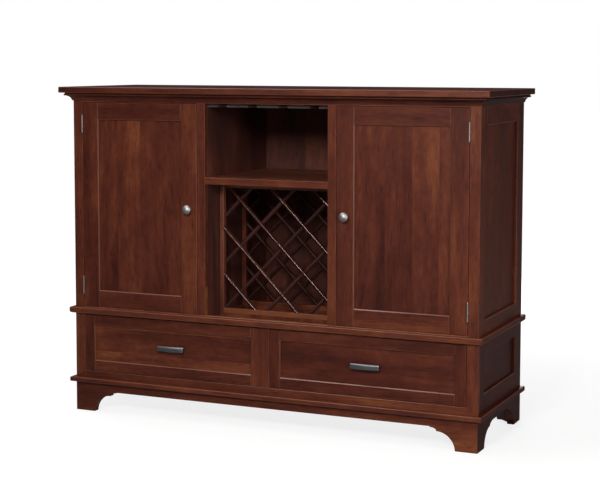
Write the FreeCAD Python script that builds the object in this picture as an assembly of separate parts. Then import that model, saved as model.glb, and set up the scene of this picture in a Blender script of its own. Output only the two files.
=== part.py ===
import FreeCAD, Part
import math
import os

from FreeCAD import Vector

os.makedirs("parts", exist_ok=True)

# Overall sizes. The origin is on the floor under the middle of the top slab, with the front towards -Y.
overall_height = 1219.0
case_width = 1577.0
case_depth = 524.0

# Top slab
top_thickness = 22.0
top_overhang = 40.0
top_ease = 3.0

# Crown moulding: a bottom fillet, a cove, a bead and a quirk under the slab
crown_height = 29.0
crown_foot = 3.0
crown_foot_height = 2.0
crown_cove_start = 4.0
crown_cove_out = 20.5
crown_cove_rise = 16.5
crown_cove_hollow = 3.6
crown_quirk = 23.0
crown_bead_height = 6.5
crown_bead_bulge = 3.2

# Waist and base mouldings: bands with a small round above and a fuller one below
waist_height = 23.0
waist_out = 17.0
waist_round = 9.0
base_band_height = 17.5
base_band_out = 17.5
base_band_lap = 8.5
base_band_round = 4.0
band_ease = 3.5

# Bracket plinth
plinth_height = 119.0
plinth_thickness = 25.0
foot_width = 79.0
foot_arc_run = 68.0
foot_arc_rise = 63.0
foot_arc_hollow = 18.5
foot_step = 5.0
foot_cove_run = 23.0
foot_cove_rise = 7.0
foot_cove_hollow = 2.2
foot_lip = 3.0
block_leg = 52.0
block_lift = 6.0

# Boards and panels
board = 19.0
back_thickness = 6.0
back_lap = 10.0
floor_thickness = 16.0
frame_thickness = 20.0
edge_ease = 1.0
inner_ease = 3.0
groove_depth = 8.0
groove_play = 0.1
panel_play = 0.8

# Upper case
base_case_height = 252.0
outer_stile = 38.0
centre_opening = 478.0
centre_stile = 32.0
upper_bottom_rail = 26.0
upper_top_rail = 34.0
middle_rail = 24.0
stemware_space = 265.0

# Case sides, framed like doors
side_thickness = 20.0
side_front_stile = 50.0
side_back_stile = 73.0
side_top_rail = 95.0
side_bottom_rail = 74.0
base_side_top_rail = 48.0
base_side_bottom_rail = 73.0
side_recess = 11.0
side_panel_thickness = 6.0

# Stemware rails
stem_bays = 4
stem_slot = 34.5
stem_web = 45.0
stem_flange = 10.0
stem_flange_ease = 3.0
stem_drop = 28.0
stem_length = 400.0

# Rack
rack_setback = 115.0
rack_spacing = 185.0
rack_side_play = 1.0
rack_top_play = 8.0
rack_post = 16.0
rack_rail = 17.0
rack_base_height = 21.0
rack_tie_width = 16.0
slat_width = 13.0
slat_thickness = 10.0
slat_ease = 3.5
slat_pitch = 170.0
lattice_x = 11.0
lattice_height = 271.0

# Cupboard shelves on cleats
shelf_height = 400.0
shelf_setback = 14.0
shelf_play = 1.0
cleat_setback = 12.0
shelf_cleat_width = 14.0
shelf_cleat_height = 19.0

# Doors
door_gap = 1.8
door_stile = 65.0
door_rail = 63.0
door_recess = 9.0
door_panel_thickness = 7.0

# Knob
knob_radius = 17.0
knob_out = 28.0
knob_rose = 9.5
knob_rose_height = 2.5
knob_neck = 6.5
knob_rim = 2.0
knob_flare = 7.0
knob_crown = 9.0

# Butt hinges
hinge_inset = 79.0
hinge_height = 62.0
hinge_knuckles = 3
barrel_radius = 3.5
barrel_clear = 0.4
knuckle_gap = 0.3
leaf_thickness = 1.9
leaf_width = 17.0
leaf_play = 0.3
hinge_pin_radius = 1.9
hinge_pin_fit = 0.06

# Catches
catch_width = 42.0
catch_depth = 26.0
catch_lap = 14.0
strike_thickness = 1.2
catch_gap = 0.3

# Drawers
base_outer_stile = 41.0
base_centre_stile = 32.0
base_bottom_rail = 35.0
drawer_gap = 1.5
drawer_bottom_gap = 2.0
drawer_top_gap = 4.0
drawer_front_thickness = 19.0
drawer_frame = 40.0
drawer_recess = 8.0
drawer_panel_thickness = 6.0
box_wall = 13.0
box_lift = 16.0
box_drop = 26.0
box_back_play = 20.0
box_bottom = 6.0
box_bottom_lift = 12.0
box_groove = 6.0
tail_count = 4
tail_share = 0.66
tail_slope = 6.0

# Bowed bar pull
pull_length = 108.0
pull_out = 22.0
pull_bow = 5.5
pull_bar = 6.5
pull_height = 22.0
pull_ease = 4.0
pull_leg = 8.0
pull_leg_inset = 1.5
pull_leg_height = 15.0

# Telescopic slides
slide_stack = 13.0
slide_height = 45.0
slide_steel = 1.2
slide_run = 0.5
slide_setback = 3.0
slide_end_play = 6.0
cleat_height = 60.0

# Levels and planes that the sizes above fix
half_width = case_width / 2
face_y = top_overhang - (case_depth + top_overhang) / 2
back_y = face_y + case_depth
frame_back = face_y + frame_thickness
inner_back = back_y - back_thickness
inside_x = half_width - side_thickness
slab_bottom = overall_height - top_thickness
crown_bottom = slab_bottom - crown_height
base_top = plinth_height + base_case_height
deck_bottom = base_top - board
opening_bottom = base_top + upper_bottom_rail
opening_top = slab_bottom - upper_top_rail
subtop_bottom = slab_bottom - board
shelf_top = opening_top - stemware_space
centre_half = centre_opening / 2
divider_out = centre_half + board
door_in = centre_half + centre_stile
door_out = half_width - outer_stile


def box(x0, x1, y0, y1, z0, z1):
    return Part.makeBox(x1 - x0, y1 - y0, z1 - z0, Vector(x0, y0, z0))


def mirrored(shape):
    return shape.mirror(Vector(0, 0, 0), Vector(1, 0, 0))


def both_sides(shapes):
    return list(shapes) + [mirrored(shape) for shape in shapes]


def save(node, solids):
    Part.makeCompound(list(solids)).exportStep("parts/" + node + ".step")


def face_of(start, steps, place):
    """A face whose outline runs through steps: a point ends a line, and a pair is an arc's via and end."""
    edges = []
    here = place(start)
    for step in steps + [start]:
        is_arc = isinstance(step[0], tuple)
        there = place(step[1] if is_arc else step)
        if is_arc:
            edges.append(Part.Arc(here, place(step[0]), there).toShape())
        else:
            edges.append(Part.LineSegment(here, there).toShape())
        here = there
    return Part.Face(Part.Wire(edges))


def bowed(a, b, hollow):
    """The middle of an arc from a to b that stands off its chord, to the left of its direction."""
    run = b[0] - a[0]
    rise = b[1] - a[1]
    length = math.hypot(run, rise)
    return ((a[0] + b[0]) / 2 - rise / length * hollow, (a[1] + b[1]) / 2 + run / length * hollow)


def prism(points, z0, z1):
    face = face_of(points[0], list(points[1:]), lambda p: Vector(p[0], p[1], z0))
    return face.extrude(Vector(0, 0, z1 - z0))


# Mouldings: one section, run along the front and both sides, mitred at the front corners
def mitred_lengths(start, steps, out):
    reach = half_width + out
    front_face = face_of(start, steps, lambda p: Vector(-reach, face_y - p[0], p[1]))
    front = front_face.extrude(Vector(2 * reach, 0, 0))
    side_face = face_of(start, steps, lambda p: Vector(half_width + p[0], face_y - out, p[1]))
    side = side_face.extrude(Vector(0, case_depth + out, 0))
    corners = [(-reach, face_y - out), (reach, face_y - out), (half_width, face_y), (-half_width, face_y)]
    front = front.common(prism(corners, 0, overall_height))
    corners = [(half_width, face_y), (reach, face_y - out), (reach, back_y), (half_width, back_y)]
    side = side.common(prism(corners, 0, overall_height))
    return [front] + both_sides([side])


def band(z0, height, out, low_round):
    z1 = z0 + height
    corner = 1 - math.sqrt(0.5)
    low_turn = low_round * corner
    turn = band_ease * corner
    steps = [
        (out - low_round, z0),
        ((out - low_turn, z0 + low_turn), (out, z0 + low_round)),
        (out, z1 - band_ease),
        ((out - turn, z1 - turn), (out - band_ease, z1)),
        (0, z1),
    ]
    return mitred_lengths((0, z0), steps, out)


def crown():
    cove_low = (crown_cove_start, crown_bottom + crown_foot_height)
    cove_high = (crown_cove_out, cove_low[1] + crown_cove_rise)
    bead_low = (crown_quirk, cove_high[1])
    bead_high = (crown_quirk, bead_low[1] + crown_bead_height)
    steps = [
        (crown_foot, crown_bottom),
        (crown_foot, cove_low[1]),
        cove_low,
        (bowed(cove_low, cove_high, crown_cove_hollow), cove_high),
        bead_low,
        (bowed(bead_low, bead_high, -crown_bead_bulge), bead_high),
        (crown_quirk, slab_bottom),
        (0, slab_bottom),
    ]
    return mitred_lengths((0, crown_bottom), steps, crown_quirk + crown_bead_bulge)


def top_slab():
    reach = half_width + top_overhang
    slab = box(-reach, reach, face_y - top_overhang, back_y, slab_bottom, overall_height)
    level = [e for e in slab.Edges if e.BoundBox.ZLength < top_ease and e.BoundBox.YMin < back_y - top_ease]
    return slab.makeFillet(top_ease, level)


# Bracket plinth: boards with arched lower edges, mitred at the corners
def bracket_board(half_length):
    inner = half_length - foot_width
    arc_end = (inner - foot_arc_run, foot_arc_rise)
    cove_start = (arc_end[0], foot_arc_rise + foot_step)
    cove_end = (arc_end[0] - foot_cove_run, cove_start[1] + foot_cove_rise)
    arch = cove_end[1] + foot_lip
    arc_mid = bowed((inner, 0), arc_end, -foot_arc_hollow)
    cove_mid = bowed(cove_start, cove_end, -foot_cove_hollow)

    def flip(p):
        return (-p[0], p[1])

    steps = [
        (half_length, plinth_height),
        (half_length, 0),
        (inner, 0),
        (arc_mid, arc_end),
        cove_start,
        (cove_mid, cove_end),
        (cove_end[0], arch),
        (-cove_end[0], arch),
        flip(cove_end),
        (flip(cove_mid), flip(cove_start)),
        flip(arc_end),
        (flip(arc_mid), (-inner, 0)),
        (-half_length, 0),
    ]
    face = face_of((-half_length, plinth_height), steps, lambda p: Vector(p[0], 0, p[1]))
    board_blank = face.extrude(Vector(0, plinth_thickness, 0))
    inner_half = half_length - plinth_thickness
    corners = [
        (-half_length, 0),
        (half_length, 0),
        (inner_half, plinth_thickness),
        (-inner_half, plinth_thickness),
    ]
    return board_blank.common(prism(corners, 0, plinth_height))


def turned(shape, degrees, place):
    copy = shape.copy()
    copy.rotate(Vector(0, 0, 0), Vector(0, 0, 1), degrees)
    copy.translate(place)
    return copy


def plinth():
    middle = (face_y + back_y) / 2
    long_board = bracket_board(half_width)
    side = turned(bracket_board(case_depth / 2), 90, Vector(half_width, middle, 0))
    save("plinth_front", [turned(long_board, 0, Vector(0, face_y, 0))])
    save("plinth_back", [turned(long_board, 180, Vector(0, back_y, 0))])
    save("plinth_sides", both_sides([side]))
    x = half_width - plinth_thickness
    front = face_y + plinth_thickness
    back = back_y - plinth_thickness
    blocks = [
        prism([(x, front), (x, front + block_leg), (x - block_leg, front)], block_lift, plinth_height),
        prism([(x, back), (x - block_leg, back), (x, back - block_leg)], block_lift, plinth_height),
    ]
    save("plinth_corner_blocks", both_sides(blocks))


# Frame-and-panel work: X is across, Y is into the thickness from the shown face, and Z is up
def stick(width, thickness, recess, panel_thickness):
    """The section of a stile or rail whose inner edge, at width, carries the panel's groove."""
    groove_front = recess - groove_play
    groove_back = recess + panel_thickness + groove_play
    floor = width - groove_depth
    return (edge_ease, 0), [
        (width - inner_ease, 0),
        (width, inner_ease),
        (width, groove_front),
        (floor, groove_front),
        (floor, groove_back),
        (width, groove_back),
        (width, thickness),
        (0, thickness),
        (0, edge_ease),
    ]


def framed_panel(width, height, stiles, rails, thickness, recess, panel_thickness):
    """Two stiles, two rails with stub tenons, and a floating panel. Pairs are left, right or bottom, top."""
    left, right = stiles
    bottom, top = rails
    tenon = groove_depth - groove_play
    start, steps = stick(left, thickness, recess, panel_thickness)
    left_stile = face_of(start, steps, lambda p: Vector(p[0], p[1], 0)).extrude(Vector(0, 0, height))
    start, steps = stick(right, thickness, recess, panel_thickness)
    right_stile = face_of(start, steps, lambda p: Vector(width - p[0], p[1], 0)).extrude(Vector(0, 0, height))
    across = Vector(width - left - right, 0, 0)
    start, steps = stick(bottom, thickness, recess, panel_thickness)
    low = face_of(start, steps, lambda p: Vector(left, p[1], p[0])).extrude(across)
    start, steps = stick(top, thickness, recess, panel_thickness)
    high = face_of(start, steps, lambda p: Vector(left, p[1], height - p[0])).extrude(across)
    tenon_front = recess
    tenon_back = recess + panel_thickness
    ends = [(left - tenon, left), (width - right, width - right + tenon)]
    for x0, x1 in ends:
        low = low.fuse(box(x0, x1, tenon_front, tenon_back, 0, bottom - groove_depth))
        high = high.fuse(box(x0, x1, tenon_front, tenon_back, height - top + groove_depth, height))
    sunk = groove_depth - panel_play
    panel = box(
        left - sunk, width - right + sunk, tenon_front, tenon_back, bottom - sunk, height - top + sunk
    )
    return [left_stile, right_stile, low.removeSplitter(), high.removeSplitter()], panel


def placed(shapes, degrees, place):
    return [turned(shape, degrees, place) for shape in shapes]


def case_sides():
    depth = back_y - frame_back
    back_rabbet_x = inside_x + back_lap
    stiles = (side_front_stile, side_back_stile)
    place = Vector(half_width, frame_back, base_top)
    rails = (side_bottom_rail, side_top_rail)
    sticks, panel = framed_panel(
        depth, slab_bottom - base_top, stiles, rails, side_thickness, side_recess, side_panel_thickness
    )
    sticks = placed(sticks, 90, place)
    rabbet = box(inside_x, back_rabbet_x, inner_back, back_y, base_top, slab_bottom)
    sticks[1] = sticks[1].cut(rabbet)
    save("side_frames", both_sides(sticks))
    save("side_panels", both_sides(placed([panel], 90, place)))

    place = Vector(half_width, frame_back, plinth_height)
    rails = (base_side_bottom_rail, base_side_top_rail)
    sticks, panel = framed_panel(
        depth, base_case_height, stiles, rails, side_thickness, side_recess, side_panel_thickness
    )
    sticks = placed(sticks, 90, place)
    sticks[1] = sticks[1].cut(box(inside_x, back_rabbet_x, inner_back, back_y, plinth_height, base_top))
    save("base_side_frames", both_sides(sticks))
    save("base_side_panels", both_sides(placed([panel], 90, place)))


def eased_upright(x0, x1, y0, y1, z0, z1):
    """A member that stands up, with its two front edges eased."""
    eased_y = y0 + edge_ease
    points = [(x0 + edge_ease, y0), (x1 - edge_ease, y0), (x1, eased_y), (x1, y1), (x0, y1), (x0, eased_y)]
    return prism(points, z0, z1)


def eased_rail(x0, x1, y0, y1, z0, z1, ease=edge_ease):
    """A member that lies across, with its two front edges eased."""
    eased_y = y0 + ease
    section = [(y0, z1 - ease), (y0, z0 + ease), (eased_y, z0), (y1, z0), (y1, z1), (eased_y, z1)]
    face = face_of(section[0], section[1:], lambda p: Vector(x0, p[0], p[1]))
    return face.extrude(Vector(x1 - x0, 0, 0))


# Hinges stand at the outer edge of each door opening
hinge_x = door_out - door_gap / 2
hinge_y = face_y - barrel_radius - barrel_clear
door_bottom = opening_bottom + door_gap
door_top = opening_top - door_gap
hinge_levels = [door_bottom + hinge_inset, door_top - hinge_inset]


def leaf_plate(direction, z):
    near = hinge_x + direction * leaf_play / 2
    far = near + direction * leaf_thickness
    low = z - hinge_height / 2
    return box(min(near, far), max(near, far), face_y, face_y + leaf_width, low, low + hinge_height)


def knuckle_span(z, i):
    step = (hinge_height + knuckle_gap) / hinge_knuckles
    low = z - hinge_height / 2 + i * step
    return low, low + step - knuckle_gap


def knuckles(direction, z, places):
    """A leaf with knuckles rolled round the pin's axis at the given places, counted from below."""
    leaf = leaf_plate(direction, z)
    near = hinge_x + direction * leaf_play / 2
    far = near + direction * leaf_thickness
    for i in places:
        z0, z1 = knuckle_span(z, i)
        tab = box(min(near, far), max(near, far), hinge_y, face_y, z0, z1)
        barrel = Part.makeCylinder(barrel_radius, z1 - z0, Vector(hinge_x, hinge_y, z0), Vector(0, 0, 1))
        leaf = leaf.fuse(tab).fuse(barrel)
    return leaf


def case_leaf(z):
    """The leaf on the case holds the pin, which runs through the door's knuckle."""
    low = z - hinge_height / 2
    pin = Part.makeCylinder(hinge_pin_radius, hinge_height, Vector(hinge_x, hinge_y, low), Vector(0, 0, 1))
    leaf = knuckles(1, z, range(0, hinge_knuckles, 2))
    return leaf.fuse(pin).removeSplitter()


def door_leaf(z):
    low = z - hinge_height / 2
    bore = Part.makeCylinder(
        hinge_pin_radius + hinge_pin_fit, hinge_height, Vector(hinge_x, hinge_y, low), Vector(0, 0, 1)
    )
    return knuckles(-1, z, range(1, hinge_knuckles, 2)).cut(bore).removeSplitter()


def upper_case():
    y0, y1 = face_y, frame_back
    outer = eased_upright(door_out, half_width, y0, y1, base_top, slab_bottom)
    for z in hinge_levels:
        outer = outer.cut(leaf_plate(1, z))
    inner = eased_upright(centre_half, door_in, y0, y1, opening_bottom, opening_top)
    rails = [
        eased_rail(-door_out, door_out, y0, y1, base_top, opening_bottom),
        eased_rail(-door_out, door_out, y0, y1, opening_top, slab_bottom),
        eased_rail(-centre_half, centre_half, y0, y1, shelf_top - middle_rail, shelf_top),
    ]
    save("upper_face_frame", both_sides([outer, inner]) + rails)
    save("sub_top", [box(-inside_x, inside_x, y1, inner_back, subtop_bottom, slab_bottom)])
    divider = box(centre_half, divider_out, y1, inner_back, base_top, subtop_bottom)
    save("dividers", both_sides([divider]))
    save("middle_shelf", [box(-centre_half, centre_half, y1, inner_back, shelf_top - board, shelf_top)])
    lap = inside_x + back_lap
    save("upper_back", [box(-lap, lap, inner_back, back_y, base_top, slab_bottom)])


def cupboard_shelves():
    z = base_top + shelf_height
    x0 = divider_out + shelf_play
    x1 = inside_x - shelf_play
    shelf = box(x0, x1, frame_back + shelf_setback, inner_back - shelf_play, z, z + board)
    save("left_cupboard_shelf", [mirrored(shelf)])
    save("right_cupboard_shelf", [shelf])
    y0 = frame_back + shelf_setback + cleat_setback
    low = z - shelf_cleat_height
    cleats = [
        box(divider_out, divider_out + shelf_cleat_width, y0, inner_back, low, z),
        box(inside_x - shelf_cleat_width, inside_x, y0, inner_back, low, z),
    ]
    save("shelf_cleats", both_sides(cleats))


# Stemware rails: inverted tees, with half rails against the dividers
def stemware_rails():
    pitch = centre_opening / stem_bays
    half_flange = (pitch - stem_slot) / 2
    low = subtop_bottom - stem_drop
    flange_top = low + stem_flange
    half_web = stem_web / 2
    half_section = [
        (0, subtop_bottom),
        (half_web, subtop_bottom),
        (half_web, flange_top),
        (half_flange - stem_flange_ease, flange_top),
        (half_flange, flange_top - stem_flange_ease),
        (half_flange, low + stem_flange_ease),
        (half_flange - stem_flange_ease, low),
        (0, low),
    ]
    along = Vector(0, stem_length, 0)

    def rail(x, sides):
        halves = []
        for side in sides:
            section = face_of(
                half_section[0], half_section[1:], lambda p: Vector(x + side * p[0], frame_back, p[1])
            )
            halves.append(section.extrude(along))
        if len(halves) == 1:
            return halves[0]
        return halves[0].fuse(halves[1]).removeSplitter()

    rails = [rail(-centre_half, [1]), rail(centre_half, [-1])]
    rails += [rail(-centre_half + i * pitch, [1, -1]) for i in range(1, stem_bays)]
    save("stemware_rails", rails)


# Rack: two lattices in frames, one behind the other, on a base of strips
rack_half = centre_half - rack_side_play
rack_depth = 2 * slat_thickness
rack_low = base_top + rack_base_height
rack_high = shelf_top - board - rack_top_play
rack_front_y = face_y + rack_setback
rack_rear_y = rack_front_y + rack_spacing


def lattice_frame(y):
    x = rack_half - rack_post
    post = eased_upright(x, rack_half, y, y + rack_depth, rack_low, rack_high)
    low_rail = eased_rail(-x, x, y, y + rack_depth, rack_low, rack_low + rack_rail)
    high_rail = eased_rail(-x, x, y, y + rack_depth, rack_high - rack_rail, rack_high)
    return both_sides([post]) + [low_rail, high_rail]


def lattice_slats(y):
    x = rack_half - rack_post
    low = rack_low + rack_rail
    high = rack_high - rack_rail
    window = box(-x, x, y, y + rack_depth, low, high)
    centre = Vector(lattice_x, 0, base_top + lattice_height)
    reach = (x + high - low) * 2
    rows = math.ceil(reach / slat_pitch)
    half_slat = slat_width / 2
    slats = []
    for turn, y0 in ((45, y), (-45, y + slat_thickness)):
        for i in range(-rows, rows + 1):
            slat = eased_rail(-reach, reach, y0, y0 + slat_thickness, -half_slat, half_slat, slat_ease)
            slat.rotate(Vector(0, 0, 0), Vector(0, 1, 0), turn)
            slat.translate(centre + Vector(0, 0, i * slat_pitch))
            slats += slat.common(window).Solids
    return slats


def rack():
    save("rack_front_frame", lattice_frame(rack_front_y))
    save("rack_front_slats", lattice_slats(rack_front_y))
    save("rack_rear_frame", lattice_frame(rack_rear_y))
    save("rack_rear_slats", lattice_slats(rack_rear_y))
    x = rack_half - rack_tie_width
    y0 = rack_front_y + rack_depth
    base_front = box(-rack_half, rack_half, rack_front_y, y0, base_top, rack_low)
    base_rear = box(-rack_half, rack_half, rack_rear_y, rack_rear_y + rack_depth, base_top, rack_low)
    side_strip = box(x, rack_half, y0, rack_rear_y, base_top, rack_low)
    top_tie = box(x, rack_half, y0, rack_rear_y, rack_high - rack_rail, rack_high)
    save("rack_ties", [base_front, base_rear] + both_sides([side_strip, top_tie]))


# Doors, drawn for the right side and mirrored for the left
def door_knob():
    """A turned mushroom knob: a rose on the door, a straight neck, a flared underside and a domed head."""
    rim = knob_out - knob_crown
    under = rim - knob_rim - knob_flare
    dome = (knob_radius**2 + knob_crown**2) / (2 * knob_crown)
    half_turn = math.asin(knob_radius / dome) / 2
    dome_mid = (dome * math.sin(half_turn), knob_out - dome * (1 - math.cos(half_turn)))
    steps = [
        (knob_rose, 0),
        (knob_rose, knob_rose_height),
        (knob_neck, knob_rose_height),
        (knob_neck, under),
        (knob_radius, under + knob_flare),
        (knob_radius, rim),
        (dome_mid, (0, knob_out)),
    ]
    x = door_in + door_gap + door_stile / 2
    z = (door_bottom + door_top) / 2
    face = face_of((0, 0), steps, lambda p: Vector(x + p[0], face_y - p[1], z))
    return face.revolve(Vector(x, face_y, z), Vector(0, 1, 0), 360)


def doors():
    width = door_out - door_in - 2 * door_gap
    height = door_top - door_bottom
    place = Vector(door_in + door_gap, face_y, door_bottom)
    sticks, panel = framed_panel(
        width,
        height,
        (door_stile, door_stile),
        (door_rail, door_rail),
        frame_thickness,
        door_recess,
        door_panel_thickness,
    )
    sticks = placed(sticks, 0, place)
    for z in hinge_levels:
        sticks[1] = sticks[1].cut(leaf_plate(-1, z))
    panel = turned(panel, 0, place)
    strike_x = door_in + door_gap + door_stile / 2
    strike_back = frame_back + strike_thickness
    x0 = strike_x - catch_width / 2
    x1 = strike_x + catch_width / 2
    low = door_top - catch_lap
    strike = box(x0, x1, frame_back, strike_back, low, door_top)
    catch_front = strike_back + catch_gap
    catch = box(x0, x1, catch_front, catch_front + catch_depth, low, subtop_bottom)
    pieces = {
        "door_frame": sticks,
        "door_panel": [panel],
        "door_hinge_leaves": [door_leaf(z) for z in hinge_levels],
        "door_knob_and_strike": [door_knob(), strike],
    }
    for name, solids in pieces.items():
        save("right_" + name, solids)
        save("left_" + name, [mirrored(solid) for solid in solids])
    save("case_hinge_leaves", both_sides([case_leaf(z) for z in hinge_levels]))
    save("door_catches", both_sides([catch]))


# Drawer base
drawer_in = base_centre_stile / 2
drawer_out = half_width - base_outer_stile
drawer_opening_bottom = plinth_height + base_bottom_rail
drawer_low = drawer_opening_bottom + drawer_bottom_gap
drawer_high = base_top - drawer_top_gap
box_low = drawer_low + box_lift
box_high = deck_bottom - box_drop
box_front = face_y + drawer_front_thickness
box_back = inner_back - box_back_play
slide_front = frame_back + slide_setback
slide_back = box_back - slide_end_play
slide_level = (box_low + box_high) / 2


def drawer_base():
    y0, y1 = face_y, frame_back
    outer = eased_upright(drawer_out, half_width, y0, y1, plinth_height, base_top)
    centre = eased_upright(-drawer_in, drawer_in, y0, y1, drawer_opening_bottom, base_top)
    rail = eased_rail(-drawer_out, drawer_out, y0, y1, plinth_height, drawer_opening_bottom)
    save("base_face_frame", both_sides([outer]) + [centre, rail])
    floor_top = plinth_height + floor_thickness
    save("base_floor", [box(-inside_x, inside_x, y1, inner_back, plinth_height, floor_top)])
    save("base_deck", [box(-inside_x, inside_x, y1, inner_back, deck_bottom, base_top)])
    half_board = board / 2
    save("base_partition", [box(-half_board, half_board, y1, inner_back, floor_top, deck_bottom)])
    lap = inside_x + back_lap
    save("base_back", [box(-lap, lap, inner_back, back_y, plinth_height, base_top)])
    z0 = slide_level - cleat_height / 2
    z1 = slide_level + cleat_height / 2
    cleats = [
        box(drawer_out, inside_x, y1, inner_back, z0, z1),
        box(half_board, drawer_in, y1, inner_back, z0, z1),
    ]
    save("slide_cleats", both_sides(cleats))


# Telescopic slides: three nested channels, seen here from the wall that carries them
def slide_channel(wall, direction, near, far, half, opens_to_wall):
    """A channel from near to far off the wall; its web is at the near or the far side."""
    lip = half - slide_steel
    web = far - slide_steel if opens_to_wall else near + slide_steel
    end = near if opens_to_wall else far
    start = far if opens_to_wall else near
    points = [
        (start, half),
        (end, half),
        (end, lip),
        (web, lip),
        (web, -lip),
        (end, -lip),
        (end, -half),
        (start, -half),
    ]
    face = face_of(
        points[0], points[1:], lambda p: Vector(wall + direction * p[0], slide_front, slide_level + p[1])
    )
    return face.extrude(Vector(0, slide_back - slide_front, 0))


def slide_members(wall, direction):
    half = slide_height / 2
    step = slide_steel + slide_run
    case_member = slide_channel(wall, direction, 0, slide_stack - 2 * step, half, False)
    middle = slide_channel(wall, direction, step, slide_stack - step, half - step, False)
    drawer_member = slide_channel(wall, direction, 2 * step, slide_stack, half - 2 * step, True)
    return case_member, middle, drawer_member


def slides():
    members = [slide_members(drawer_out, -1), slide_members(drawer_in, 1)]
    case_members, middles, drawer_members = [list(group) for group in zip(*members)]
    save("slide_case_members", both_sides(case_members))
    for side, place in (("right", list), ("left", lambda group: [mirrored(solid) for solid in group])):
        save(side + "_slide_middles", place(middles))
        save(side + "_slide_drawer_members", place(drawer_members))


# Dovetailed drawer box: tails on the sides, pins on the front and back
def tails(x0, x1, y_line, y_end):
    pitch = (box_high - box_low) / tail_count
    wide = pitch * tail_share / 2
    narrow = wide - abs(y_end - y_line) / tail_slope
    solids = []
    for i in range(tail_count):
        z = box_low + (i + 0.5) * pitch
        outline = [(y_end, z - wide), (y_end, z + wide), (y_line, z + narrow), (y_line, z - narrow)]
        face = face_of(outline[0], outline[1:], lambda p: Vector(x0, p[0], p[1]))
        solids.append(face.extrude(Vector(x1 - x0, 0, 0)))
    return solids


def drawer_box():
    x0 = drawer_in + slide_stack
    x1 = drawer_out - slide_stack
    front_in = box_front + box_wall
    back_in = box_back - box_wall
    bottom_low = box_low + box_bottom_lift
    bottom_high = bottom_low + box_bottom
    groove = box(
        x0 + box_wall - box_groove,
        x1 - box_wall + box_groove,
        front_in - box_groove,
        back_in + box_groove,
        bottom_low - groove_play,
        bottom_high + groove_play,
    )
    front = box(x0, x1, box_front, front_in, box_low, box_high)
    back = box(x0, x1, back_in, box_back, box_low, box_high)
    walls = []
    for a, b in ((x0, x0 + box_wall), (x1 - box_wall, x1)):
        front_tails = tails(a, b, front_in, box_front)
        back_tails = tails(a, b, back_in, box_back)
        front = front.cut(Part.makeCompound(front_tails))
        back = back.cut(Part.makeCompound(back_tails))
        wall = box(a, b, front_in, back_in, box_low, box_high)
        walls.append(wall.multiFuse(front_tails + back_tails).removeSplitter().cut(groove))
    sunk = box_groove - panel_play
    bottom = box(
        x0 + box_wall - sunk, x1 - box_wall + sunk, front_in - sunk, back_in + sunk, bottom_low, bottom_high
    )
    return walls + [front.cut(groove), back.cut(groove)], bottom


def drawer_pull(x, y, z):
    """A bar bowed outwards in plan, with eased front edges, on two legs that stand on the panel at y."""
    half = pull_length / 2
    radius = (half ** 2 + pull_bow ** 2) / (2 * pull_bow)
    front = y - pull_out
    axis = Vector(x, front + radius, z)
    low = -pull_height / 2
    high = pull_height / 2
    steps = [
        (pull_ease, low),
        (0, low + pull_ease),
        (0, high - pull_ease),
        (pull_ease, high),
        (pull_bar, high),
    ]
    section = face_of((pull_bar, low), steps, lambda p: Vector(x, front + p[0], z + p[1]))
    sweep = math.degrees(math.asin(half / radius))
    section.rotate(axis, Vector(0, 0, 1), -sweep)
    bar = section.revolve(axis, Vector(0, 0, 1), 2 * sweep)
    leg_out = half - pull_leg_inset
    leg_front = front + pull_bow + pull_bar / 2
    legs = []
    for side in (-1, 1):
        inner = x + side * (leg_out - pull_leg)
        outer = x + side * leg_out
        edges = sorted((inner, outer))
        legs.append(box(*edges, leg_front, y, z - pull_leg_height / 2, z + pull_leg_height / 2))
    return bar.multiFuse(legs).removeSplitter()


def drawers():
    x0 = drawer_in + drawer_gap
    x1 = drawer_out - drawer_gap
    place = Vector(x0, face_y, drawer_low)
    edges = (drawer_frame, drawer_frame)
    sticks, panel = framed_panel(
        x1 - x0,
        drawer_high - drawer_low,
        edges,
        edges,
        drawer_front_thickness,
        drawer_recess,
        drawer_panel_thickness,
    )
    walls, bottom = drawer_box()
    pull = drawer_pull((x0 + x1) / 2, face_y + drawer_recess, (drawer_low + drawer_high) / 2)
    pieces = {
        "drawer_front_frame": placed(sticks, 0, place),
        "drawer_front_panel": [turned(panel, 0, place)],
        "drawer_box": walls,
        "drawer_bottom": [bottom],
        "drawer_pull": [pull],
    }
    for name, solids in pieces.items():
        save("right_" + name, solids)
        save("left_" + name, [mirrored(solid) for solid in solids])


save("top_slab", [top_slab()])
save("crown_moulding", crown())
save("waist_moulding", band(base_top, waist_height, waist_out, waist_round))
base_band_low = plinth_height + base_band_lap - base_band_height
save("base_moulding", band(base_band_low, base_band_height, base_band_out, base_band_round))
plinth()
case_sides()
upper_case()
cupboard_shelves()
stemware_rails()
rack()
doors()
drawer_base()
slides()
drawers()
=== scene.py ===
import math

import bmesh
import bpy
from mathutils import Matrix, Vector


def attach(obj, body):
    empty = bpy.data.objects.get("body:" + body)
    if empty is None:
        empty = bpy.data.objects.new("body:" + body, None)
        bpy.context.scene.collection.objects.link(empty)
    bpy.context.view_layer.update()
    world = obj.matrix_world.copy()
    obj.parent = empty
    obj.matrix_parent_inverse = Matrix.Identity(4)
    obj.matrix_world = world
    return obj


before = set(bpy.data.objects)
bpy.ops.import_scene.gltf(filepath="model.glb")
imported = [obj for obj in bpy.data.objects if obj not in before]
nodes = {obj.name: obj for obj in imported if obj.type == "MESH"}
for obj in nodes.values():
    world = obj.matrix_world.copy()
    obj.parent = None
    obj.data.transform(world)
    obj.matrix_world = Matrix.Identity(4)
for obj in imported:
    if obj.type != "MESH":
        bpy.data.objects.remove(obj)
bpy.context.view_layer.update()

print("cabinet loaded:", len(nodes), "nodes")


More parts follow.
